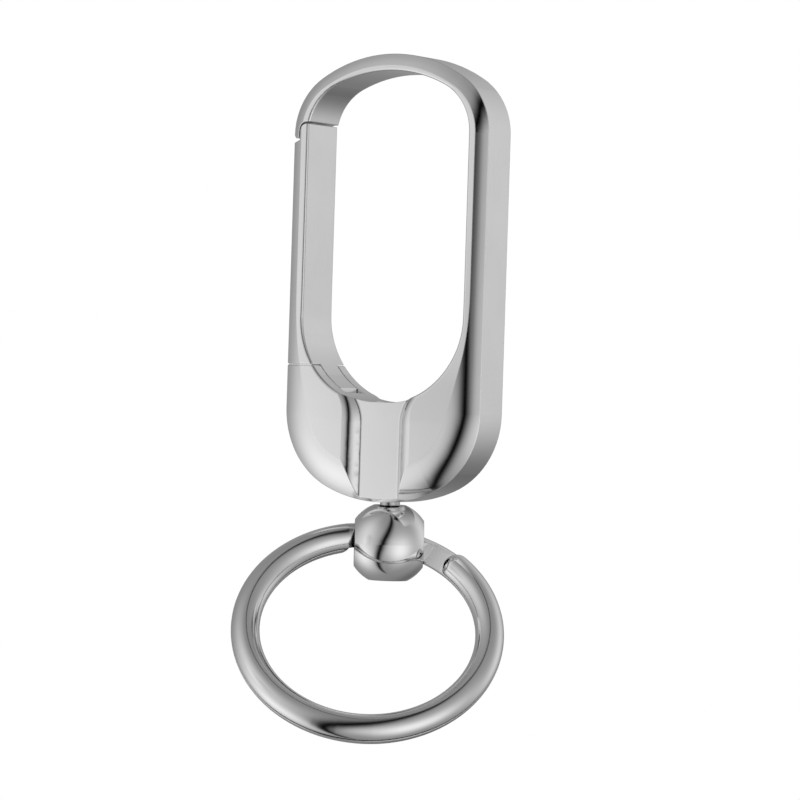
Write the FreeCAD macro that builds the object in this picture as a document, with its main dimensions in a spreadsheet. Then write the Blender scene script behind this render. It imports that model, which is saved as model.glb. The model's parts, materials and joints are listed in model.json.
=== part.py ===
"""Belt key clip: a cast loop with a sprung gate, a swivel ball and a split ring.

Millimetres. Z runs up the loop, X across it with the gate on the -X side, and the
front faces -Y. The origin is the hook seat: the top of the loop's inside, at half
the depth. The ring and the swivel stand as they hang in the hand: turned and swung
a little towards the front.
"""
import FreeCAD, Part
import math
import os
import re
import Sketcher
from FreeCAD import Matrix, Placement, Rotation, Vector

# Driving dimensions, one row of the sheet each: name, value, meaning
SIZES = [
    # Loop and frame outline
    ("loop_width", 20.5, "clear width of the loop"),
    ("loop_height", 36.3, "clear height of the loop"),
    ("arm_wall", 2.2, "width of an arm seen from the front"),
    ("arch_wall", 1.9, "height of the arch over the hook seat"),
    ("base_height", 11.0, "height of the base below the loop"),
    ("arch_outer_crown", 17.0, "radius of the outer arch at its top"),
    ("arch_outer_corner", 7.3, "corner radius of the outer arch"),
    ("arch_inner_crown", 16.0, "radius of the inner arch at its top"),
    ("arch_inner_corner", 5.8, "corner radius of the inner arch"),
    ("cradle_flat", 1.9, "flat at the bottom of the loop, between its two quarter rounds"),
    ("base_crown", 17.0, "radius of the crowned underside of the base"),
    ("base_corner", 9.4, "corner radius of the base"),
    # Section of the frame
    ("side_depth", 4.72, "depth of the flat outer side face"),
    ("crest_depth", 7.34, "greatest depth, at the pads"),
    ("crown_width", 4.2, "width of the convex flank, in from the outline"),
    ("crown_trim", 0.012, "flat taken off the top of the flank's curve"),
    ("edge_round", 0.3, "rounding of the loop's inner edges"),
    ("pad_swell", 0.57, "how much further out each face of the pads stands than the arms"),
    ("swell_rise", 12.3, "start of the swelling, above the bottom of the loop"),
    ("swell_drop", 3.7, "end of the swelling, below the bottom of the loop"),
    # Flute between the pads
    ("flute_depth", 5.2, "depth of metal left between the two flutes"),
    ("flute_floor", 4.7, "width of the flute's floor"),
    ("flute_roll", 2.2, "radius of the pads' edges along the flute"),
    ("flute_foot", 0.4, "radius at the foot of the flute's walls"),
    ("flare_drop", 2.3, "height over which the flute widens below the loop"),
    ("flare_radius", 4.5, "radius of the widening"),
    ("flare_reach", 2.8, "how far the widening goes out to each side"),
    # Gate
    ("arch_end_drop", 5.5, "end of the arch over the gate, below the hook seat"),
    ("nose_drop", 7.3, "tip of the arch's nose, below the hook seat"),
    ("nose_thickness", 0.85, "thickness of the nose outside the gate's tip"),
    ("nose_slope", 0.3, "slant of the nose's end and of the gate's shoulder"),
    ("gate_gap", 0.22, "gap round the gate's tip"),
    ("tip_flat", 0.25, "flat on top of the gate's rounded tip"),
    ("seam_rise", 3.9, "lower end of the gate's bar, above the bottom of the loop"),
    ("seam_gap", 0.05, "gap between the gate's bar and the base at rest"),
    ("seam_edge", 0.12, "broken edges along that seam"),
    ("pin_past_seam", 0.7, "hinge axis inside the seam's inner end"),
    ("pin_below_seam", 2.8, "hinge axis below the seam"),
    ("knuckle_radius", 1.9, "half the width of the tongue round its pin"),
    ("toe_reach", 2.0, "toe of the tongue, inwards from the hinge axis"),
    ("tongue_width", 3.4, "width of the tongue between the cheeks"),
    ("tongue_gap", 0.15, "gap on each side of the tongue"),
    ("slot_gap", 0.3, "gap between tongue and slot at the back and below"),
    ("slot_past_toe", 0.9, "slot's length past the toe"),
    # Hinge pin and spring of the gate
    ("pin_diameter", 1.5, "gate's hinge pin"),
    ("pin_running_gap", 0.05, "radial clearance of the gate on its pin"),
    ("pin_cover", 0.6, "metal left in front of the pin's blind end"),
    ("pin_recess", 0.15, "pin's rear end below the crest"),
    ("spring_arm", 1.1, "spring's axis inwards from the hinge axis"),
    ("spring_outer", 1.7, "outside diameter of the spring"),
    ("spring_wire", 0.28, "spring wire"),
    ("spring_pitch", 0.75, "pitch of the spring"),
    ("spring_turns", 6, "turns of the spring"),
    ("spring_side_gap", 0.15, "radial gap of the spring in its pocket"),
    ("spring_end_gap", 0.02, "gap at each end of the spring"),
    # Swivel
    ("shank_diameter", 2.2, "rivet's shank"),
    ("shank_gap", 0.05, "radial clearance of the shank in the base"),
    ("head_diameter", 3.6, "rivet's head"),
    ("head_height", 1.2, "height of the rivet's head"),
    ("head_gap", 0.1, "gap round and under the rivet's head"),
    ("head_recess", 0.25, "rivet's head below the bottom of the loop"),
    ("shank_in_ball", 1.3, "depth of the shank in the ball"),
    ("neck_gap", 0.3, "gap between base and ball"),
    ("ball_diameter", 9.2, "swivel ball"),
    ("ball_top", 4.25, "ball's upper flat above its centre"),
    ("ball_foot", 4.05, "ball's lower flat below its centre"),
    ("ring_hole", 5.0, "hole in the ball for the ring"),
    ("ball_width", 7.6, "width of the ball between the mouths of its hole"),
    # Split ring
    ("ring_outer", 29.5, "outside diameter of the split ring"),
    ("wire_width", 3.1, "ring wire across the ring"),
    ("wire_thickness", 1.5, "height of the ring's half-round wire over its flat"),
    ("coil_gap", 0.2, "gap between the flats of the ring's two coils"),
    ("ring_lift", 0.65, "ring wire above the middle of the ball's hole"),
    # Angles of the ring and of the pose, in degrees
    ("cross_angle", 80, "where the wire crosses from the front coil to the rear one"),
    ("cross_half", 20, "half the angle of the crossing"),
    ("front_end_past", 17, "front wire end, past the crossing"),
    ("rear_end_past", 5, "rear wire end, past the crossing"),
    ("swivel_turn", 32.5, "swivel turned about Z"),
    ("ring_swing", 42.5, "ring swung to the front"),
    ("ring_skew", 10, "ring turned in its own plane in the ball's hole"),
]

doc = FreeCAD.newDocument("belt_key_clip")
sheet = doc.addObject("Spreadsheet::Sheet", "Sizes")
for row, (name, number, meaning) in enumerate(SIZES, start=1):
    sheet.set(f"A{row}", meaning)
    sheet.set(f"B{row}", str(number))
    sheet.setAlias(f"B{row}", name)
doc.recompute()
NAMES = {name for name, number, meaning in SIZES}

# Sizes that follow from the driving ones, as expressions of the sheet
LOOP_HALF = "(loop_width / 2)"
FRAME_HALF = "(loop_width / 2 + arm_wall)"
CREST_HALF = "(crest_depth / 2)"
SIDE_HALF = "(side_depth / 2)"
FLUTE_HALF = "(flute_depth / 2)"
BASE_Z = "(-loop_height - base_height)"
CRADLE_RADIUS = "((loop_width - cradle_flat) / 2)"
CRADLE_Z = f"(-loop_height + {CRADLE_RADIUS})"
CROWN_DROP = f"({CREST_HALF} + crown_trim - {SIDE_HALF})"
CROWN_RADIUS = f"((crown_width ^ 2 + {CROWN_DROP} ^ 2) / (2 * {CROWN_DROP}))"
# The rounding of the loop's edges is limited by its wall, which is thinner at the arch's corners:
# it takes a share of the flat beside the flank, and the seam's bevel a share of the rounding
CORNER_SHARE = 0.9
FLAT_SHARE = 0.8
BEVEL_SHARE = 0.4
LEAST_SHARE = 0.1
ARM_FLANK = f"(crown_width - sqrt({CROWN_RADIUS} ^ 2 - ({CROWN_RADIUS} - pad_swell - crown_trim) ^ 2))"
THIN_FLAT = f"({CORNER_SHARE} * min(arm_wall; arch_wall) - {ARM_FLANK})"
EDGE_ROUND = f"max(min(edge_round; {FLAT_SHARE} * {THIN_FLAT}); {LEAST_SHARE} * edge_round)"
SEAM_EDGE = f"min(seam_edge; {BEVEL_SHARE} * {EDGE_ROUND})"
# How far a cutting outline is drawn past the metal that it cuts
PAST = "arm_wall"
# A point this close to an outline lies on it
ON_OUTLINE = 0.001
# A cut has to take away more than this volume
LEAST_CUT = 0.001
# Sections of the flute's walls, as shares of their slope: up the foot and over the roll
FOOT_SHARES = (0, 0.5, 1)
ROLL_SHARES = (0.75, 0.5, 0.25, 0.1)
# Sections of the ring's crossing, and points on each turn of the spring that are measured
CROSS_STEPS = 8
TURN_POINTS = 40


def cradle_x(z):
    """Half width of the loop's lower round at a height, as an expression."""
    return f"(cradle_flat / 2 + sqrt({CRADLE_RADIUS} ^ 2 - ({z} - {CRADLE_Z}) ^ 2))"


def cradle_z(x):
    """Height of the loop's lower round at a half width, as an expression."""
    return f"({CRADLE_Z} - sqrt({CRADLE_RADIUS} ^ 2 - ({x} - cradle_flat / 2) ^ 2))"


SEAM_Z = "(-loop_height + seam_rise)"
SEAM_X = cradle_x(SEAM_Z)
PIN_X = f"(-{SEAM_X} + pin_past_seam)"
PIN_Z = f"({SEAM_Z} - pin_below_seam)"
TOE_X = f"({PIN_X} + toe_reach)"
TONGUE_BACK_X = f"({PIN_X} - knuckle_radius)"
TONGUE_FOOT_Z = f"({PIN_Z} - knuckle_radius)"
SLOT_FLOOR_Z = f"({PIN_Z} - sqrt(toe_reach ^ 2 + knuckle_radius ^ 2) - slot_gap)"
SPRING_X = f"({PIN_X} + spring_arm)"
SPRING_LENGTH = "(spring_turns * spring_pitch + spring_wire)"
SPRING_TOP_Z = f"({TONGUE_FOOT_Z} - spring_end_gap)"
SPRING_FLOOR_Z = f"({SPRING_TOP_Z} - {SPRING_LENGTH} - spring_end_gap)"
HEAD_TOP_Z = "(-loop_height - head_recess)"
HEAD_SEAT_Z = f"({HEAD_TOP_Z} - head_height - head_gap)"
BALL_Z = f"({BASE_Z} - neck_gap - ball_top)"


def bound(text):
    """The text with each size written as a cell of the sheet."""
    return re.sub(r"[a-z_]+", lambda word: "Sizes." + word[0] if word[0] in NAMES else word[0], text)


def value(text):
    """The number that an expression of the sizes gives."""
    return float(sheet.evalExpression(bound(text)))


def new_body(label):
    body = doc.addObject("PartDesign::Body", label)
    body.Label = label
    return body


def plane(body, role):
    return next(item for item in body.Origin.OriginFeatures if item.Role == role)


def new_sketch(body, name, role, offset="0"):
    """A sketch on one of the body's own origin planes, moved along its normal."""
    sketch = body.newObject("Sketcher::SketchObject", name)
    sketch.AttachmentSupport = [(plane(body, role), "")]
    sketch.MapMode = "FlatFace"
    sketch.setExpression("AttachmentOffset.Base.z", bound(offset))
    return sketch


def bind(sketch, constraint, expression):
    index = sketch.addConstraint(constraint)
    sketch.setExpression(f"Constraints[{index}]", bound(expression))


def arc_between(start, end, radius, side):
    """The shorter arc from start to end: side +1 turns left, -1 turns right."""
    chord = end - start
    height = math.sqrt(radius ** 2 - (chord.Length / 2) ** 2)
    centre = (start + end) / 2 + Vector(-chord.y, chord.x, 0).normalize() * height * side
    circle = Part.Circle(centre, Vector(0, 0, 1), radius)
    first, last = (start, end) if side > 0 else (end, start)
    return Part.ArcOfCircle(circle, circle.parameter(first), circle.parameter(last))


def draw(sketch, corners):
    """A closed outline: each corner is x, y and the arc to the next one, or None for a line.

    An arc is its radius and its side. Every corner and radius is bound to the sheet.
    """
    points = [Vector(value(x), value(y), 0) for x, y, arc in corners]
    ends = []
    for index, (x, y, arc) in enumerate(corners):
        start = points[index]
        end = points[(index + 1) % len(points)]
        if arc is None:
            edge = sketch.addGeometry(Part.LineSegment(start, end))
            ends.append((edge, 1, 2))
        else:
            radius, side = arc
            edge = sketch.addGeometry(arc_between(start, end, value(radius), side))
            ends.append((edge, 1, 2) if side > 0 else (edge, 2, 1))
            bind(sketch, Sketcher.Constraint("Radius", edge, value(radius)), radius)
    for index, (x, y, arc) in enumerate(corners):
        edge, first, last = ends[index]
        before, before_first, before_last = ends[index - 1]
        sketch.addConstraint(Sketcher.Constraint("Coincident", before, before_last, edge, first))
        bind(sketch, Sketcher.Constraint("DistanceX", -1, 1, edge, first, points[index].x), x)
        bind(sketch, Sketcher.Constraint("DistanceY", -1, 1, edge, first, points[index].y), y)


def new_feature(body, kind, name, sketch):
    feature = body.newObject(f"PartDesign::{kind}", name)
    feature.Profile = sketch
    return feature


def new_pad(body, name, sketch, length):
    pad = new_feature(body, "Pad", name, sketch)
    pad.SideType = "Symmetric"
    pad.setExpression("Length", bound(length))
    doc.recompute()


def new_pocket(body, name, sketch, length):
    """A cut to both sides of its sketch, which has to take metal away."""
    before = body.Shape.Volume
    pocket = new_feature(body, "Pocket", name, sketch)
    pocket.SideType = "Symmetric"
    pocket.setExpression("Length", bound(length))
    doc.recompute()
    must_cut(body, name, before)
    return pocket


def new_bore(body, name, role, place, diameter, depth):
    """A round hole from a place in a plane's own axes, along that plane's normal."""
    before = body.Shape.Volume
    bore = body.newObject("PartDesign::SubtractiveCylinder", name)
    bore.AttachmentSupport = [(plane(body, role), "")]
    bore.MapMode = "FlatFace"
    for axis, expression in zip("xyz", place):
        bore.setExpression(f"AttachmentOffset.Base.{axis}", bound(expression))
    bore.setExpression("Radius", bound(f"({diameter}) / 2"))
    bore.setExpression("Height", bound(depth))
    doc.recompute()
    must_cut(body, name, before)


def mirror_depth(body, name, feature):
    """The same cut on the back as on the front."""
    before = body.Shape.Volume
    mirrored = body.newObject("PartDesign::Mirrored", name)
    mirrored.Originals = [feature]
    mirrored.MirrorPlane = (plane(body, "XZ_Plane"), [""])
    body.Tip = mirrored
    doc.recompute()
    must_cut(body, name, before)


def must_cut(body, name, before):
    if body.Shape.Volume > before - LEAST_CUT:
        raise ValueError(f"{name} took no metal away")


def crowned_end(half, crown, corner):
    """A crown arc that two corner arcs join to straight sides: its rise and where they join.

    The join is given as its half width and as its depth below the top of the crown.
    """
    rise = f"({crown} - sqrt(({crown} - {corner}) ^ 2 - ({half} - {corner}) ^ 2))"
    share = f"({crown} / ({crown} - {corner}))"
    join_x = f"({share} * ({half} - {corner}))"
    join_drop = f"({crown} - {share} * ({crown} - {rise}))"
    return rise, join_x, join_drop


def frame_outline():
    """Outer outline of the loop, from the middle of the underside and anticlockwise."""
    low_rise, low_x, low_drop = crowned_end(FRAME_HALF, "base_crown", "base_corner")
    high_rise, high_x, high_drop = crowned_end(FRAME_HALF, "arch_outer_crown", "arch_outer_corner")
    low_z = f"{BASE_Z} + {low_drop}"
    high_z = f"arch_wall - {high_drop}"
    side_low_z = f"{BASE_Z} + {low_rise}"
    side_high_z = f"arch_wall - {high_rise}"
    return [
        ("0", BASE_Z, ("base_crown", 1)),
        (low_x, low_z, ("base_corner", 1)),
        (FRAME_HALF, side_low_z, None),
        (FRAME_HALF, side_high_z, ("arch_outer_corner", 1)),
        (high_x, high_z, ("arch_outer_crown", 1)),
        ("0", "arch_wall", ("arch_outer_crown", 1)),
        (f"-{high_x}", high_z, ("arch_outer_corner", 1)),
        (f"-{FRAME_HALF}", side_high_z, None),
        (f"-{FRAME_HALF}", side_low_z, ("base_corner", 1)),
        (f"-{low_x}", low_z, ("base_crown", 1)),
    ]


def loop_outline():
    """The loop's inside: a flat arch above and two quarter rounds below."""
    rise, join_x, join_drop = crowned_end(LOOP_HALF, "arch_inner_crown", "arch_inner_corner")
    return [
        ("-cradle_flat / 2", "-loop_height", None),
        ("cradle_flat / 2", "-loop_height", (CRADLE_RADIUS, 1)),
        (LOOP_HALF, CRADLE_Z, None),
        (LOOP_HALF, f"-{rise}", ("arch_inner_corner", 1)),
        (join_x, f"-{join_drop}", ("arch_inner_crown", 1)),
        (f"-{join_x}", f"-{join_drop}", ("arch_inner_corner", 1)),
        (f"-{LOOP_HALF}", f"-{rise}", None),
        (f"-{LOOP_HALF}", CRADLE_Z, (CRADLE_RADIUS, 1)),
    ]


def flute_outline(half):
    """The flute from the front: straight sides that widen where they reach the loop."""
    flare_z = "(-loop_height - flare_drop)"
    top_z = f"({flare_z} + sqrt(flare_radius ^ 2 - (flare_radius - flare_reach) ^ 2))"
    wide = f"({half} + flare_reach)"
    return [
        (f"-{half}", f"{BASE_Z} - {PAST}", None),
        (half, f"{BASE_Z} - {PAST}", None),
        (half, flare_z, ("flare_radius", -1)),
        (wide, top_z, None),
        (wide, SEAM_Z, None),
        (f"-{wide}", SEAM_Z, None),
        (f"-{wide}", top_z, ("flare_radius", -1)),
        (f"-{half}", flare_z, None),
    ]


def crown_outline(edge):
    """What the convex flank leaves off on the front, in from the place of the outer edge.

    The first coordinate runs across the depth, the second along the front.
    """
    outside = f"({edge} - {PAST})"
    inside = f"({edge} + crown_width)"
    high = f"(-{CREST_HALF} - crown_trim)"
    return [
        (f"-{SIDE_HALF}", outside, None),
        (f"-{SIDE_HALF}", edge, (CROWN_RADIUS, -1)),
        (high, inside, None),
        (f"({high} - {PAST})", inside, None),
        (f"({high} - {PAST})", outside, None),
    ]


def swell_outline():
    """What the arms leave off on the front, from the side: they are thinner than the pads."""
    arm = f"({CREST_HALF} - pad_swell)"
    pad = f"({CREST_HALF} + crown_trim)"
    start_z = "(-loop_height + swell_rise)"
    end_z = "(-loop_height - swell_drop)"
    middle = f"(({arm} + {pad}) / 2)"
    middle_z = f"(({start_z} + {end_z}) / 2)"
    bend = f"((({start_z} - {middle_z}) ^ 2 + ({middle} - {arm}) ^ 2) / (2 * ({middle} - {arm})))"
    top_z = f"(arch_wall + {PAST})"
    return [
        (f"-{arm}", top_z, None),
        (f"-{arm}", start_z, (bend, -1)),
        (f"-{middle}", middle_z, (bend, 1)),
        (f"-{pad}", end_z, None),
        (f"-{pad} - {PAST}", end_z, None),
        (f"-{pad} - {PAST}", top_z, None),
    ]


def thin_arms(body):
    """Makes the arms thinner than the pads, on the front and on the back."""
    sketch = new_sketch(body, "swell_outline", "YZ_Plane")
    draw(sketch, swell_outline())
    front = new_pocket(body, "front_arms", sketch, f"2 * ({FRAME_HALF} + {PAST})")
    mirror_depth(body, "back_arms", front)


def flute_sections():
    """Half widths and depths of the flute, from its floor out past the pads.

    Its walls are an arc at the foot and a wider one that rolls over into the pad.
    """
    cosine = f"(1 - ({CREST_HALF} - {FLUTE_HALF}) / (flute_roll + flute_foot))"
    slope = f"acos({cosine})"
    mouth = f"(flute_floor / 2 + (flute_roll + flute_foot) * sin({slope}))"
    sections = []
    for share in FOOT_SHARES:
        angle = f"({share} * {slope})"
        sections.append((f"(flute_floor / 2 + flute_foot * sin({angle}))",
                         f"({FLUTE_HALF} + flute_foot * (1 - cos({angle})))"))
    for share in ROLL_SHARES:
        angle = f"({share} * {slope})"
        sections.append((f"({mouth} - flute_roll * sin({angle}))",
                         f"({CREST_HALF} - flute_roll * (1 - cos({angle})))"))
    last = f"({ROLL_SHARES[-1]} * {slope})"
    run_out = f"((crown_trim + flute_roll * (1 - cos({last}))) / tan({last}))"
    sections.append((f"({mouth} - flute_roll * sin({last}) + {run_out})", f"({CREST_HALF} + crown_trim)"))
    return sections


def cut_flute(body):
    """The flute on the front and on the back."""
    sketches = []
    for number, (half, level) in enumerate(flute_sections(), start=1):
        sketch = new_sketch(body, f"flute_{number}", "XZ_Plane", level)
        draw(sketch, flute_outline(half))
        sketches.append(sketch)
    before = body.Shape.Volume
    flute = new_feature(body, "SubtractiveLoft", "front_flute", sketches[0])
    flute.Sections = sketches[1:]
    doc.recompute()
    must_cut(body, "front_flute", before)
    mirror_depth(body, "back_flute", flute)


def break_edges(body, name, level):
    """Bevels the outer edges of the flat face at a height, where the gate's bar meets the base."""
    z = value(level)
    side = value(SIDE_HALF) - ON_OUTLINE
    outside = value(FRAME_HALF) - ON_OUTLINE
    edges = []
    for number, edge in enumerate(body.Shape.Edges, start=1):
        points = edge.discretize(Number=5)
        level_edge = all(abs(point.z - z) < ON_OUTLINE for point in points)
        if level_edge and all(abs(point.y) > side or abs(point.x) > outside for point in points):
            edges.append(f"Edge{number}")
    base = body.Tip
    bevel = body.newObject("PartDesign::Chamfer", name)
    bevel.Base = (base, edges)
    bevel.setExpression("Size", bound(SEAM_EDGE))
    doc.recompute()


def round_edges(body, name, on_outline):
    """Rounds the edges of which on_outline(point) is true all along."""
    edges = []
    for number, edge in enumerate(body.Shape.Edges, start=1):
        samples = edge.discretize(Number=5)
        if all(on_outline(point) for point in samples):
            edges.append(f"Edge{number}")
    base = body.Tip
    rounding = body.newObject("PartDesign::Fillet", name)
    rounding.Base = (base, edges)
    rounding.setExpression("Radius", bound(EDGE_ROUND))
    doc.recompute()


def on_loop_edge(point):
    """True on the front and back edges of the loop's inside."""
    if abs(point.y) < value(SIDE_HALF):
        return False
    low_z = value(CRADLE_Z)
    rise, join_x, join_drop = crowned_end(LOOP_HALF, "arch_inner_crown", "arch_inner_corner")
    arch_z = -value(rise)
    across = abs(point.x)
    if point.z < low_z:
        past_flat = max(across - value("cradle_flat / 2"), 0)
        off = math.hypot(past_flat, point.z - low_z) - value(CRADLE_RADIUS)
    elif point.z < arch_z:
        off = across - value(LOOP_HALF)
    elif across < value(join_x):
        crown = value("arch_inner_crown")
        off = math.hypot(across, point.z + crown) - crown
    else:
        corner = value("arch_inner_corner")
        off = math.hypot(across - value(LOOP_HALF) + corner, point.z - arch_z) - corner
    return abs(off) < ON_OUTLINE


def gate_room():
    """The room in the frame for the gate's bar, with its gap."""
    nose_x = f"(-{FRAME_HALF} + nose_thickness)"
    turn = "(arm_wall - nose_thickness - tip_flat)"
    outside = f"(-{FRAME_HALF} - {PAST})"
    inside = "(-cradle_flat / 2)"
    return [
        (inside, "-arch_end_drop", None),
        (f"{nose_x} + {turn}", "-arch_end_drop", (turn, 1)),
        (nose_x, f"-arch_end_drop - {turn}", None),
        (nose_x, "-nose_drop", None),
        (f"-{FRAME_HALF} + nose_slope", "-nose_drop", None),
        (f"-{FRAME_HALF}", "-nose_drop + nose_slope", None),
        (outside, "-nose_drop + nose_slope", None),
        (outside, f"{SEAM_Z} - seam_gap", None),
        (inside, f"{SEAM_Z} - seam_gap", None),
    ]


def gate_outline():
    """The gate's bar: stepped behind the nose above, along the loop's round below."""
    tip_x = f"(-{FRAME_HALF} + nose_thickness + gate_gap)"
    turn = "(arm_wall - nose_thickness - tip_flat - gate_gap)"
    shoulder_z = "(-nose_drop - gate_gap)"
    return [
        (f"-{LOOP_HALF}", "-arch_end_drop - gate_gap", None),
        (f"{tip_x} + {turn}", "-arch_end_drop - gate_gap", (turn, 1)),
        (tip_x, f"-arch_end_drop - gate_gap - {turn}", None),
        (tip_x, shoulder_z, None),
        (f"-{FRAME_HALF}", f"{shoulder_z} - nose_slope", None),
        (f"-{FRAME_HALF}", SEAM_Z, None),
        (f"-{SEAM_X}", SEAM_Z, (CRADLE_RADIUS, -1)),
        (f"-{LOOP_HALF}", CRADLE_Z, None),
    ]


def tongue_outline():
    """The gate's tongue: round behind its pin, square at the toe, flush with the loop."""
    root_z = f"({SEAM_Z} + gate_gap)"
    return [
        (TONGUE_BACK_X, root_z, None),
        (TONGUE_BACK_X, PIN_Z, ("knuckle_radius", 1)),
        (PIN_X, TONGUE_FOOT_Z, None),
        (TOE_X, TONGUE_FOOT_Z, None),
        (TOE_X, cradle_z(f"(-{TOE_X})"), (CRADLE_RADIUS, -1)),
        (f"-{cradle_x(root_z)}", root_z, None),
    ]


def make_hook_body():
    """The cast frame: crowned all round, fluted below, open for the gate."""
    body = new_body("hook_body")
    depth = f"2 * {CREST_HALF}"
    outline = new_sketch(body, "frame_outline", "XZ_Plane")
    draw(outline, frame_outline())
    new_pad(body, "frame_plate", outline, depth)

    section = new_sketch(body, "crown_section", "YZ_Plane")
    draw(section, crown_outline(BASE_Z))
    before = body.Shape.Volume
    crown = new_feature(body, "SubtractivePipe", "front_crown", section)
    crown.Spine = (outline, [f"Edge{number}" for number in range(1, len(frame_outline()) + 1)])
    doc.recompute()
    must_cut(body, "front_crown", before)
    mirror_depth(body, "back_crown", crown)
    thin_arms(body)

    loop = new_sketch(body, "loop_outline", "XZ_Plane")
    draw(loop, loop_outline())
    new_pocket(body, "loop", loop, depth)
    round_edges(body, "loop_edges", on_loop_edge)

    cut_flute(body)

    room = new_sketch(body, "gate_room", "XZ_Plane")
    draw(room, gate_room())
    new_pocket(body, "gate_opening", room, depth)
    slot = new_sketch(body, "tongue_slot", "XZ_Plane")
    draw(slot, [
        (f"{TONGUE_BACK_X} - slot_gap", SEAM_Z, None),
        (f"{TONGUE_BACK_X} - slot_gap", SLOT_FLOOR_Z, None),
        (f"{TOE_X} + slot_past_toe", SLOT_FLOOR_Z, None),
        (f"{TOE_X} + slot_past_toe", SEAM_Z, None),
    ])
    new_pocket(body, "slot", slot, "tongue_width + 2 * tongue_gap")
    break_edges(body, "seam_edges", f"{SEAM_Z} - seam_gap")

    pin_place = (PIN_X, PIN_Z, f"-{CREST_HALF} - edge_round")
    new_bore(body, "pin_hole", "XZ_Plane", pin_place, "pin_diameter",
             f"2 * {CREST_HALF} + edge_round - pin_cover")
    spring_place = (SPRING_X, "0", SPRING_FLOOR_Z)
    new_bore(body, "spring_pocket", "XY_Plane", spring_place, "spring_outer + 2 * spring_side_gap",
             f"{SLOT_FLOOR_Z} - {SPRING_FLOOR_Z} + slot_gap")
    new_bore(body, "shank_hole", "XY_Plane", ("0", "0", f"{BASE_Z} - neck_gap"),
             "shank_diameter + 2 * shank_gap", f"{HEAD_SEAT_Z} - {BASE_Z} + 2 * neck_gap")
    new_bore(body, "head_seat", "XY_Plane", ("0", "0", HEAD_SEAT_Z),
             "head_diameter + 2 * head_gap", f"-loop_height - {HEAD_SEAT_Z} + head_recess")
    return body


def make_gate():
    """The sprung bar with its tongue and pin hole."""
    body = new_body("gate")
    bar = new_sketch(body, "bar_outline", "XZ_Plane")
    draw(bar, gate_outline())
    new_pad(body, "bar", bar, f"2 * {CREST_HALF}")
    section = new_sketch(body, "bar_section", "XY_Plane")
    draw(section, [(along, across, turn_over(arc))
                   for across, along, arc in crown_outline(f"-{FRAME_HALF}")])
    flank = new_pocket(body, "front_flank", section, "2 * (loop_height + base_height)")
    mirror_depth(body, "back_flank", flank)
    thin_arms(body)
    round_edges(body, "bar_edges", on_loop_edge)
    break_edges(body, "seam_edges", SEAM_Z)
    tongue = new_sketch(body, "tongue_outline", "XZ_Plane")
    draw(tongue, tongue_outline())
    new_pad(body, "tongue", tongue, "tongue_width")
    new_bore(body, "hinge_hole", "XZ_Plane", (PIN_X, PIN_Z, f"-{CREST_HALF}"),
             "pin_diameter + 2 * pin_running_gap", f"2 * {CREST_HALF}")
    return body


def turn_over(arc):
    """The same arc with its two coordinates swapped."""
    if arc is None:
        return None
    radius, side = arc
    return (radius, -side)


def make_hinge_pin():
    """A plain pin, put in from the rear into a blind hole."""
    body = new_body("gate_hinge_pin")
    circle = new_sketch(body, "pin_circle", "XZ_Plane", f"-{CREST_HALF} + pin_recess")
    add_circle(circle, PIN_X, PIN_Z, "pin_diameter / 2")
    pin = new_feature(body, "Pad", "pin", circle)
    pin.setExpression("Length", bound(f"2 * {CREST_HALF} - pin_recess - pin_cover"))
    doc.recompute()
    return body


def add_circle(sketch, x, y, radius):
    centre = Vector(value(x), value(y), 0)
    edge = sketch.addGeometry(Part.Circle(centre, Vector(0, 0, 1), value(radius)))
    bind(sketch, Sketcher.Constraint("Radius", edge, value(radius)), radius)
    bind(sketch, Sketcher.Constraint("DistanceX", -1, 1, edge, 3, centre.x), x)
    bind(sketch, Sketcher.Constraint("DistanceY", -1, 1, edge, 3, centre.y), y)


def revolve(body, name, corners):
    """A turned piece: its half outline in the XZ plane, once round Z."""
    sketch = new_sketch(body, name + "_outline", "XZ_Plane")
    draw(sketch, corners)
    turned = new_feature(body, "Revolution", name, sketch)
    turned.ReferenceAxis = (plane(body, "Z_Axis"), [""])
    turned.Angle = 360
    doc.recompute()


def make_rivet():
    """The swivel's headed pin: its head in the loop's bottom, its end in the ball."""
    body = new_body("swivel_rivet")
    under_head = f"({HEAD_TOP_Z} - head_height)"
    end_z = f"({BALL_Z} + ball_top - shank_in_ball)"
    revolve(body, "rivet", [
        ("0", end_z, None),
        ("shank_diameter / 2", end_z, None),
        ("shank_diameter / 2", under_head, None),
        ("head_diameter / 2", under_head, None),
        ("head_diameter / 2", f"{HEAD_TOP_Z} - head_recess", None),
        ("head_diameter / 2 - head_recess", HEAD_TOP_Z, None),
        ("0", HEAD_TOP_Z, None),
    ])
    return body


def make_ball():
    """The swivel's bead: flats above and below, and the ring's hole across it."""
    body = new_body("swivel_ball")
    radius = "(ball_diameter / 2)"
    top_x = f"sqrt({radius} ^ 2 - ball_top ^ 2)"
    foot_x = f"sqrt({radius} ^ 2 - ball_foot ^ 2)"
    revolve(body, "bead", [
        ("0", "-ball_foot", None),
        (foot_x, "-ball_foot", (radius, 1)),
        (radius, "0", (radius, 1)),
        (top_x, "ball_top", None),
        ("0", "ball_top", None),
    ])
    sides = new_sketch(body, "mouth_faces", "XZ_Plane")
    for sign in ("", "-"):
        draw_box(sides, f"{sign}ball_width / 2", f"{sign}ball_diameter", "ball_diameter")
    new_pocket(body, "mouths", sides, "2 * ball_diameter")
    new_bore(body, "ring_hole", "YZ_Plane", ("0", "0", "-ball_diameter"), "ring_hole", "2 * ball_diameter")
    new_bore(body, "shank_seat", "XY_Plane", ("0", "0", "ball_top - shank_in_ball"),
             "shank_diameter", "2 * shank_in_ball")
    body.Placement.Rotation = Rotation(Vector(0, 0, 1), value("swivel_turn"))
    body.setExpression("Placement.Base.z", bound(BALL_Z))
    doc.recompute()
    return body


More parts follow.
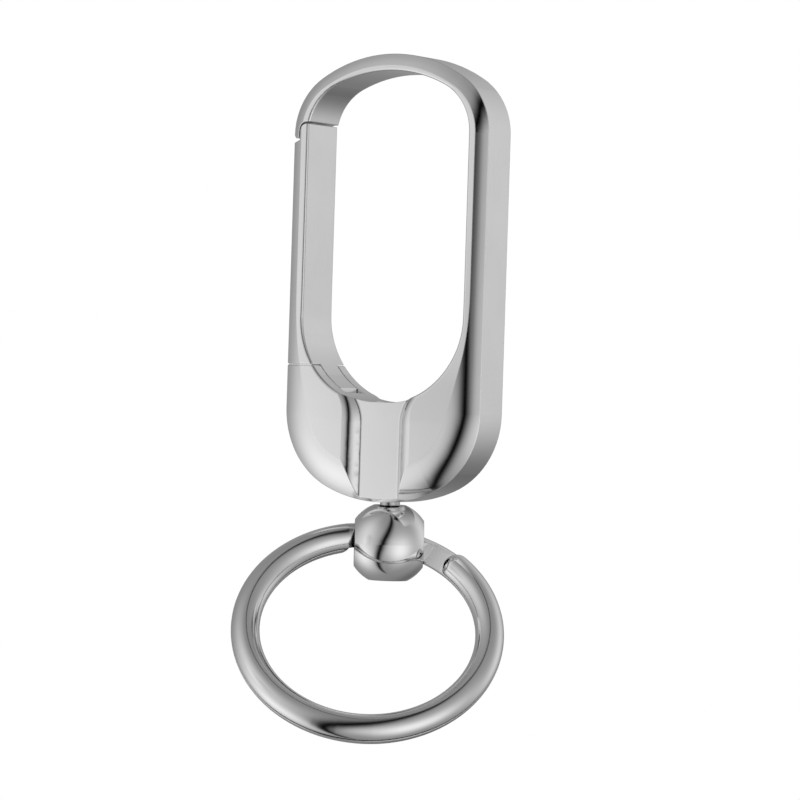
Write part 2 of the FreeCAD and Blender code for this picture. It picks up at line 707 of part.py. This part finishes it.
def draw_box(sketch, near, far, half_height):
    draw(sketch, [
        (near, f"-{half_height}", None),
        (far, f"-{half_height}", None),
        (far, half_height, None),
        (near, half_height, None),
    ])


def arc_edge(start, direction, end):
    """The arc that leaves start along direction and reaches end."""
    chord = end - start
    along = Vector(direction).normalize()
    across = chord - along * chord.dot(along)
    across.normalize()
    half_turn = math.atan2(chord.dot(across), chord.dot(along))
    radius = chord.Length / (2 * math.sin(half_turn))
    centre = start + across * radius
    middle = centre - across * radius * math.cos(half_turn) + along * radius * math.sin(half_turn)
    return Part.Arc(start, middle, end).toShape()


def sweep(edges, section):
    """One unbroken solid of a section along edges that follow each other."""
    shell = Part.BRepOffsetAPI.MakePipeShell(Part.Wire(edges))
    shell.add(section)
    shell.build()
    shell.makeSolid()
    return shell.shape()


def add_shape(label, shape):
    feature = doc.addObject("Part::Feature", label)
    feature.Label = label
    feature.Shape = shape
    return feature


def least_gap(points, skip, thickness):
    """Least clear distance between parts of a path that lie more than skip points apart."""
    nearest = min(points[i].distanceToPoint(points[j])
                  for i in range(len(points)) for j in range(i + skip, len(points)))
    return nearest - thickness


def make_spring():
    """The gate's spring: one wire wound up the pocket, in quarter turns."""
    radius = value("(spring_outer - spring_wire) / 2")
    rise = value("spring_pitch") / 4
    quarters = round(4 * value("spring_turns"))

    def point(step):
        angle = step * math.pi / 2
        return Vector(radius * math.cos(angle), radius * math.sin(angle), rise * step)

    def heading(step):
        angle = step * math.pi / 2
        along = radius * math.pi / 2
        return Vector(-math.sin(angle) * along, math.cos(angle) * along, rise).normalize()

    edges = []
    for step in range(quarters):
        edges += biarc(point(step), heading(step), point(step + 1), heading(step + 1))
    circle = Part.Circle(point(0), heading(0), value("spring_wire / 2"))
    spring = add_shape("gate_spring", sweep(edges, Part.Wire([circle.toShape()])))
    lift = value(SPRING_FLOOR_Z) + value("spring_end_gap + spring_wire / 2")
    spring.Placement = Placement(Vector(value(SPRING_X), 0, lift), Rotation())
    path = Part.Wire(edges).discretize(Number=TURN_POINTS * quarters // 4)
    gap = least_gap(path, TURN_POINTS // 2, value("spring_wire"))
    print("gate_spring least gap", round(gap, 3))
    return spring


def biarc(start, start_way, end, end_way):
    """Two arcs that join two points with given headings."""
    chord = end - start
    both = start_way + end_way
    slope = chord.dot(both)
    spread = 2 * (1 - start_way.dot(end_way))
    reach = (-slope + math.sqrt(slope ** 2 + spread * chord.dot(chord))) / spread
    middle = (start + start_way * reach + end - end_way * reach) / 2
    way = (end - end_way * reach) - (start + start_way * reach)
    return [arc_edge(start, start_way, middle), arc_edge(middle, way, end)]


def make_ring():
    """The split ring: a half-round wire wound twice, flat to flat.

    It is drawn round Z. The front coil lies above the middle and the rear one below,
    and the wire crosses from one to the other where the ring passes through the ball.
    """
    radius = value("(ring_outer - wire_width) / 2")
    height = value("wire_thickness")
    level = value("coil_gap / 2")
    cross = value("cross_angle")
    half = value("cross_half")
    front_end = cross - half - value("front_end_past")
    rear_end = cross + half + value("rear_end_past") - 360

    def turned(angle):
        return Rotation(Vector(0, 0, 1), angle)

    def section(angle, flat_z, above, below):
        """The wire's outline at an angle: how far it swells above and below its flat's level."""
        wide = value("wire_width / 2")
        rim = [Vector(radius - wide, 0, flat_z), Vector(radius + wide, 0, flat_z)]
        edges = []
        for ends, swell in ((rim, above), (rim[::-1], -below)):
            crest = Vector(radius, 0, flat_z + swell)
            curve = Part.Arc(ends[0], crest, ends[1]) if swell else Part.LineSegment(*ends)
            edges.append(curve.toShape())
        wire = Part.Wire(edges)
        wire.Placement = Placement(Vector(), turned(angle))
        return wire

    def coil(first, last, flat_z, above, below):
        """A stretch of wire of constant section, from one angle to another."""
        return Part.Face(section(first, flat_z, above, below)).revolve(Vector(), Vector(0, 0, 1), last - first)

    def round_end(angle, flat_z, swell, way):
        """Half a dome on the wire's end, from half of its section."""
        wide = value("wire_width / 2")
        foot = Vector(radius, 0, flat_z)
        crest = foot + Vector(0, 0, swell)
        rim = foot + Vector(wide, 0, 0)
        # The point halfway along the section's arc, from the rim to the crest
        bow = (wide ** 2 + swell ** 2) / (2 * abs(swell))
        centre = crest - Vector(0, 0, math.copysign(bow, swell))
        bisector = (rim - centre).normalize() + (crest - centre).normalize()
        edges = [Part.LineSegment(foot, rim).toShape(),
                 Part.Arc(rim, centre + bisector.normalize() * bow, crest).toShape(),
                 Part.LineSegment(crest, foot).toShape()]
        dome = Part.Face(Part.Wire(edges)).revolve(foot, Vector(0, 0, 1), 180 * way)
        dome.Placement = Placement(Vector(), turned(angle))
        return dome

    crossing = []
    for step in range(CROSS_STEPS + 1):
        share = step / CROSS_STEPS
        eased = share * share * (3 - 2 * share)
        crossing.append(section(cross + half * (1 - 2 * share), level * (1 - 2 * eased),
                                height * (1 - eased), height * eased))
    solids = [
        coil(front_end, cross + half - 360, level, height, 0),
        Part.makeLoft(crossing, True, True),
        coil(cross - half, rear_end, -level, 0, height),
        round_end(front_end, level, height, 1),
        round_end(rear_end, -level, -height, -1),
    ]
    ring = add_shape("split_ring", solids[0].fuse(solids[1:]))
    ring.Placement = ring_placement(radius)
    return ring


def ring_placement(radius):
    """Hung in the ball's hole: turned with the swivel, swung to the front and skewed."""
    turn = math.radians(value("swivel_turn"))
    swing = math.radians(value("ring_swing"))
    along = Vector(math.cos(turn), math.sin(turn), 0)
    back = Vector(-math.sin(turn), math.cos(turn), 0)
    up = Vector(0, 0, 1) * math.cos(swing) + back * math.sin(swing)
    facing = along.cross(up)
    skew = math.radians(90 - value("ring_skew"))
    to_ball = along * math.cos(skew) + up * math.sin(skew)
    centre = Vector(0, 0, value(BALL_Z)) - to_ball * (radius - value("ring_lift"))
    matrix = Matrix(along.x, up.x, facing.x, centre.x,
                    along.y, up.y, facing.y, centre.y,
                    along.z, up.z, facing.z, centre.z,
                    0, 0, 0, 1)
    return Placement(matrix)


PIECES = [make_hook_body(), make_gate(), make_hinge_pin(), make_spring(), make_rivet(), make_ball(), make_ring()]
doc.recompute()

for item in doc.Objects:
    if "Invalid" in item.State or "Error" in item.State:
        raise ValueError(f"{item.Label} failed: {item.State}")
for piece in PIECES:
    if piece.Shape.isNull() or not piece.Shape.isValid():
        raise ValueError(f"{piece.Label} has no valid shape")

os.makedirs("parts", exist_ok=True)
for piece in PIECES:
    piece.Shape.exportStep(f"parts/{piece.Label}.step")
    print(piece.Label, len(piece.Shape.Solids), round(piece.Shape.Volume, 2))
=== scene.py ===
"""Looks of the belt key clip: polished nickel with satin side faces, in a closed light tent."""
import json
import math
import bmesh
import bpy
from mathutils import Matrix, Vector

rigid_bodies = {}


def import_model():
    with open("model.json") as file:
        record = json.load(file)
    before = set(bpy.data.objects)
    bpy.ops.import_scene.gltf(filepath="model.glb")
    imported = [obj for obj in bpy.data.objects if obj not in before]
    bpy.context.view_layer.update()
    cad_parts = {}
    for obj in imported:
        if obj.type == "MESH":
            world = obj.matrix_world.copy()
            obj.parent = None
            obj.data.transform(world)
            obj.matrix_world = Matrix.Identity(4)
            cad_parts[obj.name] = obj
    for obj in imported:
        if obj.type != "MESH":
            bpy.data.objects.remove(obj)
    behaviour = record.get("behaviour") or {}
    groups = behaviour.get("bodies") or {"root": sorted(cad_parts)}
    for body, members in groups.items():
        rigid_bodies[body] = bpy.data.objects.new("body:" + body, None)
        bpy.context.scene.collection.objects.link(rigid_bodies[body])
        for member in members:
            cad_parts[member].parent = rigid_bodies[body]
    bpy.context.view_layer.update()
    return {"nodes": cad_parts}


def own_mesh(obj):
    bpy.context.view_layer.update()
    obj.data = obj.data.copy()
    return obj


for item in list(bpy.data.objects):
    bpy.data.objects.remove(item)
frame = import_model()
nodes = frame["nodes"]
scene = bpy.context.scene
scene.view_settings.view_transform = "Standard"

WHITE = (1.0, 1.0, 1.0, 1.0)
UP = Vector((0.0, 0.0, 1.0))


def direction(azimuth, elevation=0.0):
    """Away from the clip: azimuth from the front, to the right, and elevation, in radians."""
    return Vector((math.sin(azimuth) * math.cos(elevation), -math.cos(azimuth) * math.cos(elevation),
                   math.sin(elevation)))


def rightward(azimuth):
    """To the right, for someone who looks at the clip from this azimuth."""
    return Vector((math.cos(azimuth), math.sin(azimuth), 0.0))


# Camera: a long lens at the photograph's angle, rolled a little

AZIMUTH = math.radians(31.12)
ELEVATION = math.radians(0.45)
ROLL = math.radians(1.81)
DISTANCE = 0.4
VIEW_WIDTH = 0.08815
AIM = Vector((0.0, 0.0, -0.0363))
AIM_RIGHT = 0.000738
AIM_UP = 0.000279
SENSOR_WIDTH = 36.0
CLIP_START = 0.01
CLIP_END = 20.0


def add_camera():
    data = bpy.data.cameras.new("camera")
    data.sensor_width = SENSOR_WIDTH
    data.lens = SENSOR_WIDTH * DISTANCE / VIEW_WIDTH
    data.clip_start = CLIP_START
    data.clip_end = CLIP_END
    camera = bpy.data.objects.new("camera", data)
    scene.collection.objects.link(camera)
    out = direction(AZIMUTH, ELEVATION)
    right = rightward(AZIMUTH)
    up = out.cross(right)
    image_right = right * math.cos(ROLL) + up * math.sin(ROLL)
    image_up = up * math.cos(ROLL) - right * math.sin(ROLL)
    place = AIM + right * AIM_RIGHT + up * AIM_UP + out * DISTANCE
    turn = Matrix((image_right, image_up, out)).transposed().to_4x4()
    camera.matrix_world = Matrix.Translation(place) @ turn
    scene.camera = camera


add_camera()


# Materials

class Nodes:
    """Clears the nodes of a material or world, adds new ones and links them."""

    def __init__(self, owner):
        owner.use_nodes = True
        self.tree = owner.node_tree
        self.tree.nodes.clear()

    def add(self, kind, inputs=None, **settings):
        node = self.tree.nodes.new(kind)
        for name, setting in settings.items():
            setattr(node, name, setting)
        for name, source in (inputs or {}).items():
            self.fill(node.inputs[name], source)
        return node

    def fill(self, socket, source):
        if isinstance(source, bpy.types.NodeSocket):
            self.tree.links.new(source, socket)
        else:
            socket.default_value = source

    def noise(self, coordinates, scale, detail):
        made = self.add("ShaderNodeTexNoise", {"Vector": coordinates, "Scale": scale, "Detail": detail})
        return made.outputs["Fac"]

    def stretched_noise(self, coordinates, stretch):
        stretched = self.add("ShaderNodeMapping", {"Vector": coordinates, "Scale": stretch})
        return self.noise(stretched.outputs["Vector"], 1.0, 1.0)

    def ramp(self, factor, low, high, to_low, to_high):
        made = self.add("ShaderNodeMapRange", {"Value": factor, "From Min": low, "From Max": high,
                                               "To Min": to_low, "To Max": to_high})
        return made.outputs["Result"]

    def maths(self, operation, *sources):
        made = self.add("ShaderNodeMath", dict(enumerate(sources)), operation=operation)
        return made.outputs["Value"]

    def mix_colour(self, factor, first, second):
        made = self.add("ShaderNodeMix", {0: factor, 6: first, 7: second}, data_type="RGBA")
        return made.outputs[2]

    def emission(self, strength):
        made = self.add("ShaderNodeEmission", {"Color": WHITE, "Strength": strength})
        return made.outputs["Emission"]

    def mix_shader(self, factor, first, second):
        return self.add("ShaderNodeMixShader", {0: factor, 1: first, 2: second}).outputs["Shader"]

    def finish(self, kind, surface):
        self.add(kind, {"Surface": surface})


# Haze: how fine and detailed its clouds are, between which of its values it roughens and tints, and
# the shares of the polish's roughness that it spans
HAZE_SCALE = 160.0
HAZE_DETAIL = 3.0
HAZE_ROUGH = (0.3, 0.75)
HAZE_TINT = (0.35, 0.7)
POLISH_SPREAD = (0.8, 1.4)
# Fine scratches: how often they repeat per metre along X, Y and Z, and how they roughen satin
SCRATCHES = (9000.0, 9000.0, 260.0)
CROSS_SCRATCHES = (700.0, 5200.0, 7600.0)
SCRATCH_ROUGH = (0.25, 0.75)
SATIN_SPREAD = (0.92, 1.1)
SCRATCH_DEPTH = 0.00001
SCRATCH_STRENGTH = 0.05
# Edges: radius to which polishing breaks them, cosines between which they count as worn and get a
# painted highlight, and how much duller the rubbing makes them
EDGE_BREAK = 0.00018
EDGE_SAMPLES = 6
EDGE_COSINES = (0.995, 0.93)
EDGE_HAZE = (0.2, 0.7)
EDGE_RUB = 0.06
# How squarely a side face looks along X before it is satin
SIDE_FACING = (0.93, 0.97)


def new_metal(name, colours, polished, satin=None):
    """Plated metal with fine scratches and a breath of haze.

    colours are the clean, hazed and edge colours. polished is the roughness, and satin that of
    the brushed side faces, where there are any. Edges are a little broken by the polishing, duller
    there from rubbing, and brighter there: partly wear, partly a painted highlight.
    """
    clean, hazed, worn_and_highlit_colour = colours
    material = bpy.data.materials.new(name)
    make = Nodes(material)
    coordinates = make.add("ShaderNodeTexCoord")
    place = coordinates.outputs["Object"]
    haze = make.noise(place, HAZE_SCALE, HAZE_DETAIL)
    scratch = make.stretched_noise(place, SCRATCHES)
    marks = make.maths("MULTIPLY", scratch, make.stretched_noise(place, CROSS_SCRATCHES))

    broken = make.add("ShaderNodeBevel", {"Radius": EDGE_BREAK}, samples=EDGE_SAMPLES).outputs["Normal"]
    unbroken = make.add("ShaderNodeNewGeometry").outputs["Normal"]
    along = make.add("ShaderNodeVectorMath", {0: broken, 1: unbroken}, operation="DOT_PRODUCT")
    edge = make.ramp(along.outputs["Value"], *EDGE_COSINES, 0.0, 1.0)

    roughness = make.ramp(haze, *HAZE_ROUGH, *(polished * share for share in POLISH_SPREAD))
    if satin is not None:
        rough_satin = make.ramp(scratch, *SCRATCH_ROUGH, *(satin * share for share in SATIN_SPREAD))
        difference = make.maths("SUBTRACT", rough_satin, roughness)
        side = side_faces(make, coordinates.outputs["Normal"])
        roughness = make.maths("ADD", roughness, make.maths("MULTIPLY", difference, side))
    duller = make.ramp(make.maths("MULTIPLY", edge, haze), *EDGE_HAZE, 0.0, EDGE_RUB)
    roughness = make.maths("ADD", roughness, duller)
    tint = make.mix_colour(make.ramp(haze, *HAZE_TINT, 0.0, 1.0), clean, hazed)
    # Edges take a brighter colour: partly worn metal, partly a painted highlight
    tint = make.mix_colour(edge, tint, worn_and_highlit_colour)

    bump = make.add("ShaderNodeBump", {"Height": marks, "Distance": SCRATCH_DEPTH,
                                       "Strength": SCRATCH_STRENGTH, "Normal": broken})
    shader = make.add("ShaderNodeBsdfPrincipled", {"Base Color": tint, "Metallic": 1.0,
                                                   "Roughness": roughness, "Normal": bump.outputs["Normal"]})
    make.finish("ShaderNodeOutputMaterial", shader.outputs["BSDF"])
    return material


def side_faces(make, normal):
    """1 where a face looks straight along X: the outer side faces and the insides of the arms."""
    parts = make.add("ShaderNodeSeparateXYZ", {"Vector": normal})
    sideways = make.maths("ABSOLUTE", parts.outputs["X"])
    return make.ramp(sideways, *SIDE_FACING, 0.0, 1.0)


# Clean, hazed and edge colours; the brighter edge colour is partly wear, partly a painted highlight
CASTING_COLOURS = ((0.87, 0.87, 0.873, 1.0), (0.84, 0.838, 0.835, 1.0), (0.9, 0.9, 0.9, 1.0))
WIRE_COLOURS = ((0.86, 0.86, 0.865, 1.0), (0.82, 0.82, 0.82, 1.0), (0.88, 0.88, 0.88, 1.0))
STEEL_COLOURS = ((0.6, 0.6, 0.61, 1.0), (0.52, 0.52, 0.53, 1.0), (0.66, 0.66, 0.67, 1.0))
body = new_metal("plated_body_look", CASTING_COLOURS, 0.07, satin=0.25)
ball = new_metal("plated_ball_look", CASTING_COLOURS, 0.07)
wire = new_metal("plated_wire_look", WIRE_COLOURS, 0.08)
steel = new_metal("bare_steel_look", STEEL_COLOURS, 0.22)

LOOKS = {
    "hook_body": body,
    "gate": body,
    "swivel_ball": ball,
    "split_ring": wire,
    "gate_hinge_pin": steel,
    "gate_spring": steel,
    "swivel_rivet": steel,
}
for name, material in LOOKS.items():
    for index in range(len(nodes[name].data.materials)):
        nodes[name].data.materials[index] = material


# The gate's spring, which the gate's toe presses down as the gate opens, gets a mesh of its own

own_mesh(nodes["gate_spring"])


# Stage: white surround, a pale floor, a round light tent, and a graded card in it

WORLD_UNSEEN = 0.7
FLOOR_PALE = (0.9, 0.9, 0.9, 1.0)
FLOOR_REACH = 3.0
FLOOR_BELOW_TENT = 0.01
TENT_RADIUS = 0.55
TENT_CENTRE = Vector((0.0, 0.0, -0.036))
TENT_SEGMENTS = 48
TENT_RINGS = 24
TENT_GREY = 0.27
# Soft lights on the tent: brightness, azimuth from the front, elevation, and how far each way
# they fade, in degrees
TENT_LIGHTS = [
    (0.7, -50.0, -30.0, 40.0, 30.0),
    (0.43, -38.0, 25.0, 38.0, 35.0),
    (0.68, 64.0, -20.0, 38.0, 34.0),
    (0.1, 75.0, 20.0, 40.0, 40.0),
    (0.4, 142.0, 5.0, 28.0, 38.0),
]
# The back of the tent: lit above the clip, shaded below it
BACK_LIGHT = 0.22
BACK_SHADE = 0.45
BACK_HIGH = (180.0, 38.0, 40.0, 30.0)
BACK_LOW = (180.0, -38.0, 40.0, 26.0)
# The unlit gap between the two sides: azimuth level with the clip, lean, half width and darkness
GAP_AZIMUTH = 14.5
GAP_LEAN = 0.45
GAP_WIDTH = 12.0
GAP_DEPTH = 1.0
# The card stands where the pads mirror it: azimuth, the point it faces, distance and half size
CARD_AZIMUTH = math.radians(-31.0)
CARD_AIM = Vector((0.0, -0.0037, -0.04))
CARD_DISTANCE = 0.09
CARD_HALF = 0.03
# Its brightness at the left and right, what is added below, and the shares of its half size over
# which these change and within which it is whole
CARD_LEFT = 0.79
CARD_RIGHT = 0.55
CARD_LOW = 0.08
CARD_ACROSS = 0.4
CARD_DOWN = 0.3
CARD_WHOLE = 0.55


def add_world():
    world = bpy.data.worlds.new("white_surround")
    make = Nodes(world)
    path = make.add("ShaderNodeLightPath")
    seen = make.maths("MAXIMUM", path.outputs["Is Camera Ray"], path.outputs["Is Glossy Ray"])
    seen = make.maths("MAXIMUM", seen, path.outputs["Is Transmission Ray"])
    strength = make.ramp(seen, 0.0, 1.0, WORLD_UNSEEN, 1.0)
    light = make.add("ShaderNodeBackground", {"Color": WHITE, "Strength": strength})
    make.finish("ShaderNodeOutputWorld", light.outputs["Background"])
    scene.world = world


def add_plate(name, half, material):
    """A square plate about its own origin, on the stage."""
    mesh = bpy.data.meshes.new(name)
    corners = [(-half, -half, 0.0), (half, -half, 0.0), (half, half, 0.0), (-half, half, 0.0)]
    mesh.from_pydata(corners, [], [(0, 1, 2, 3)])
    mesh.materials.append(material)
    plate = bpy.data.objects.new(name, mesh)
    scene.collection.objects.link(plate)
    return plate


def add_floor():
    """A pale floor below the tent, which shows white to the camera."""
    material = bpy.data.materials.new("pale_floor")
    make = Nodes(material)
    path = make.add("ShaderNodeLightPath")
    seen = make.maths("MAXIMUM", path.outputs["Is Camera Ray"], path.outputs["Is Glossy Ray"])
    pale = make.add("ShaderNodeBsdfDiffuse", {"Color": FLOOR_PALE})
    both = make.mix_shader(seen, pale.outputs["BSDF"], make.emission(1.0))
    make.finish("ShaderNodeOutputMaterial", both)
    floor = add_plate("floor", FLOOR_REACH, material)
    floor.location = (0.0, 0.0, TENT_CENTRE.z - TENT_RADIUS - FLOOR_BELOW_TENT)


def tent_material():
    """Cloth lit from outside by soft lights, with an unlit gap in front."""
    material = bpy.data.materials.new("light_tent")
    make = Nodes(material)
    place = make.add("ShaderNodeTexCoord").outputs["Object"]
    unit = make.add("ShaderNodeVectorMath", {0: place}, operation="NORMALIZE").outputs["Vector"]
    parts = make.add("ShaderNodeSeparateXYZ", {"Vector": unit})
    front = make.maths("MULTIPLY", parts.outputs["Y"], -1.0)
    azimuth = make.maths("MULTIPLY", make.maths("ARCTAN2", parts.outputs["X"], front), math.degrees(1.0))
    elevation = make.maths("MULTIPLY", make.maths("ARCSINE", parts.outputs["Z"]), math.degrees(1.0))
    behind = make.maths("ABSOLUTE", azimuth)

    def falloff(source, middle, width):
        """Squared distance from the middle, in widths."""
        away = make.maths("DIVIDE", make.maths("SUBTRACT", source, middle), width)
        return make.maths("MULTIPLY", away, away)

    def fading(distance):
        return make.maths("EXPONENT", make.maths("MULTIPLY", distance, -1.0))

    def spot(around, at_azimuth, at_elevation, wide, high):
        """1 at its middle, fading each way."""
        along = falloff(around, at_azimuth, wide)
        return fading(make.maths("ADD", along, falloff(elevation, at_elevation, high)))

    glow = TENT_GREY
    for brightness, *where in TENT_LIGHTS:
        glow = make.maths("ADD", make.maths("MULTIPLY", spot(azimuth, *where), brightness), glow)
    glow = make.maths("ADD", glow, make.maths("MULTIPLY", spot(behind, *BACK_HIGH), BACK_LIGHT))
    shade = make.maths("MULTIPLY", spot(behind, *BACK_LOW), BACK_SHADE)
    glow = make.maths("MULTIPLY", glow, make.maths("SUBTRACT", 1.0, shade))
    leaning = make.maths("SUBTRACT", azimuth, make.maths("MULTIPLY", elevation, GAP_LEAN))
    gap = make.maths("MULTIPLY", fading(falloff(leaning, GAP_AZIMUTH, GAP_WIDTH)), GAP_DEPTH)
    glow = make.maths("MULTIPLY", glow, make.maths("SUBTRACT", 1.0, gap))
    make.finish("ShaderNodeOutputMaterial", make.emission(glow))
    return material


def add_tent():
    """A round tent all about the clip, which the camera looks through."""
    mesh = bpy.data.meshes.new("light_tent")
    shell = bmesh.new()
    bmesh.ops.create_uvsphere(shell, u_segments=TENT_SEGMENTS, v_segments=TENT_RINGS, radius=TENT_RADIUS)
    shell.to_mesh(mesh)
    shell.free()
    mesh.materials.append(tent_material())
    tent = bpy.data.objects.new("light_tent", mesh)
    tent.location = TENT_CENTRE
    scene.collection.objects.link(tent)
    tent.visible_camera = False


def card_material():
    """Paper graded from bright on the left to grey on the right, thinning to nothing at its rim."""
    material = bpy.data.materials.new("graded_card")
    make = Nodes(material)
    place = make.add("ShaderNodeTexCoord").outputs["Object"]
    parts = make.add("ShaderNodeSeparateXYZ", {"Vector": place})
    across = CARD_ACROSS * CARD_HALF
    down = CARD_DOWN * CARD_HALF
    graded = make.ramp(parts.outputs["X"], -across, across, CARD_LEFT, CARD_RIGHT)
    low = make.ramp(parts.outputs["Y"], down, -down, 0.0, CARD_LOW)
    from_middle = make.add("ShaderNodeVectorMath", {0: place}, operation="LENGTH").outputs["Value"]
    cover = make.ramp(from_middle, CARD_HALF, CARD_WHOLE * CARD_HALF, 0.0, 1.0)
    clear = make.add("ShaderNodeBsdfTransparent").outputs["BSDF"]
    paper = make.emission(make.maths("ADD", graded, low))
    make.finish("ShaderNodeOutputMaterial", make.mix_shader(cover, clear, paper))
    return material


def add_card():
    """The card that the front pads mirror, which the camera looks through."""
    out = direction(CARD_AZIMUTH)
    card = add_plate("graded_card", CARD_HALF, card_material())
    turn = Matrix((rightward(CARD_AZIMUTH), UP, out)).transposed().to_4x4()
    card.matrix_world = Matrix.Translation(CARD_AIM + out * CARD_DISTANCE) @ turn
    card.visible_camera = False


add_world()
add_floor()
add_tent()
add_card()
